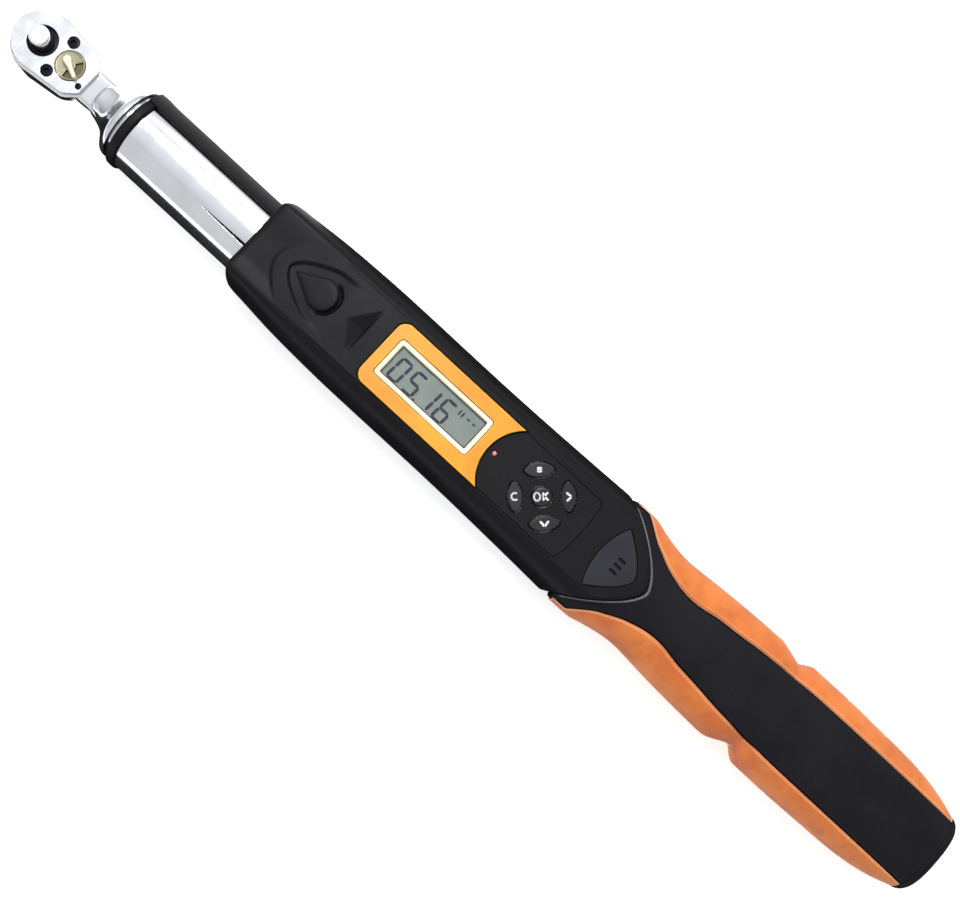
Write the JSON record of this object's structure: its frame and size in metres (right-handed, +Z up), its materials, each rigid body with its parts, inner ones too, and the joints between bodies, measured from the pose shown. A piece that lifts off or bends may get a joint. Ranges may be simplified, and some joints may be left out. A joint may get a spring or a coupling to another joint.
{
  "type": "digital torque wrench",
  "caption": "Electronic torque wrench: ratchet head with square drive on a round tube, long housing with a display and keys, and a contoured two-colour grip handle.",
  "frame": {"origin": "centre of the drive square's tip face, on the plane that the tip and the housing's flat underside both lie on", "axes": "+X from the drive square to the butt of the handle, +Z up through the ratchet head on the side of the display"},
  "size_m": [0.3897, 0.0418, 0.0311],
  "materials": {
    "chrome": "polished",
    "satin_chrome": "satin",
    "black_steel": "black oxide",
    "spring_steel": "plain",
    "lever_brass": "pale satin",
    "gauge_foil": "foil on film",
    "collar_black": "fine texture",
    "housing_black": "fine texture",
    "core_black": "soft-touch",
    "cap_black": "soft-touch",
    "bezel_amber": "satin",
    "frame_white": "satin",
    "window_clear": "clear",
    "lcd_glass": "satin",
    "keypad_rubber": "matte",
    "key_black": "satin",
    "led_red": "clear red",
    "board_green": "solder mask",
    "panel_grey": "satin",
    "grip_orange": "soft matte",
    "cell_silver": "printed sleeve",
    "lead_red": "satin"
  },
  "bodies": {
    "wrench_body": {"head_forging": "chrome", "head_cover_plate": "satin_chrome", "cover_screw_left": "black_steel", "cover_screw_right": "black_steel", "tube_collar": "collar_black", "chrome_tube": "chrome", "sensing_beam": "black_steel", "beam_pin": "spring_steel", "pivot_pin": "spring_steel", "handle_pin": "spring_steel", "strain_gauge_left": "gauge_foil", "strain_gauge_right": "gauge_foil", "gauge_lead": "lead_red", "battery_lead": "lead_red", "housing_top_shell": "housing_black", "housing_bottom_shell": "housing_black", "housing_screw_1": "black_steel", "housing_screw_2": "black_steel", "housing_screw_3": "black_steel", "housing_screw_4": "black_steel", "pin_cover": "housing_black", "bezel": "bezel_amber", "window_frame": "frame_white", "display_window": "window_clear", "lcd_module": "lcd_glass", "main_board": "board_green", "dome_sheet": "spring_steel", "keypad_panel": "keypad_rubber", "status_led": "led_red", "buzzer": "black_steel", "speaker_panel": "panel_grey", "handle_core": "core_black", "grip_left": "grip_orange", "grip_right": "grip_orange", "cell_1": "cell_silver", "cell_2": "cell_silver", "cell_3": "cell_silver", "cell_4": "cell_silver", "front_contact": "spring_steel"},
    "drive": {"ratchet_gear": "black_steel", "release_spring": "spring_steel"},
    "release": {"release_button": "chrome"},
    "detent": {"detent_ball": "chrome"},
    "lever": {"reversing_lever": "lever_brass", "pawl_plunger": "spring_steel"},
    "rocker": {"pawl": "black_steel"},
    "key_ok": {"ok_key": "key_black"},
    "key_units": {"units_key": "key_black"},
    "key_clear": {"clear_key": "key_black"},
    "key_next": {"next_key": "key_black"},
    "key_down": {"down_key": "key_black"},
    "butt": {"end_cap": "cap_black", "rear_contact": "spring_steel"}
  },
  "joints": [
    {"name": "drive_spin", "type": "hinge", "parent": "wrench_body", "child": "drive", "pos_m": [0, 0, 0], "axis": [0, 0, 1], "continuous": true},
    {"name": "release_press", "type": "slide", "parent": "drive", "child": "release", "axis": [0, 0, -1], "range_m": [0, 0.002], "stiffness_N_per_m": 400, "springref_m": -0.002, "deforming": ["release_spring"]},
    {"name": "ball_retract", "type": "slide", "parent": "drive", "child": "detent", "axis": [1, 0, 0], "range_m": [0, 0.00056]},
    {"name": "lever_turn", "type": "hinge", "parent": "wrench_body", "child": "lever", "pos_m": [0.0117, 0, 0.021], "axis": [0, 0, 1], "range_deg": [0, 52]},
    {"name": "pawl_rock", "type": "hinge", "parent": "wrench_body", "child": "rocker", "pos_m": [0.0117, 0, 0.015], "axis": [0, 0, 1], "range_deg": [0, 16.01]},
    {"name": "ok_press", "type": "slide", "parent": "wrench_body", "child": "key_ok", "axis": [0, 0, -1], "range_m": [0, 0.0006], "stiffness_N_per_m": 300, "springref_m": -0.0005},
    {"name": "units_press", "type": "slide", "parent": "wrench_body", "child": "key_units", "axis": [0, 0, -1], "range_m": [0, 0.0006], "stiffness_N_per_m": 300, "springref_m": -0.0005},
    {"name": "clear_press", "type": "slide", "parent": "wrench_body", "child": "key_clear", "axis": [0, 0, -1], "range_m": [0, 0.0006], "stiffness_N_per_m": 300, "springref_m": -0.0005},
    {"name": "next_press", "type": "slide", "parent": "wrench_body", "child": "key_next", "axis": [0, 0, -1], "range_m": [0, 0.0006], "stiffness_N_per_m": 300, "springref_m": -0.0005},
    {"name": "down_press", "type": "slide", "parent": "wrench_body", "child": "key_down", "axis": [0, 0, -1], "range_m": [0, 0.0006], "stiffness_N_per_m": 300, "springref_m": -0.0005},
    {"name": "butt_pull", "type": "slide", "parent": "wrench_body", "child": "butt", "axis": [1, 0, 0], "range_m": [0, 0.05]}
  ],
  "couplings": [
    {"joint": "ball_retract", "follows": "release_press", "ratio": 0.275},
    {"joint": "pawl_rock", "follows": "lever_turn", "ratio": 0.3077}
  ]
}
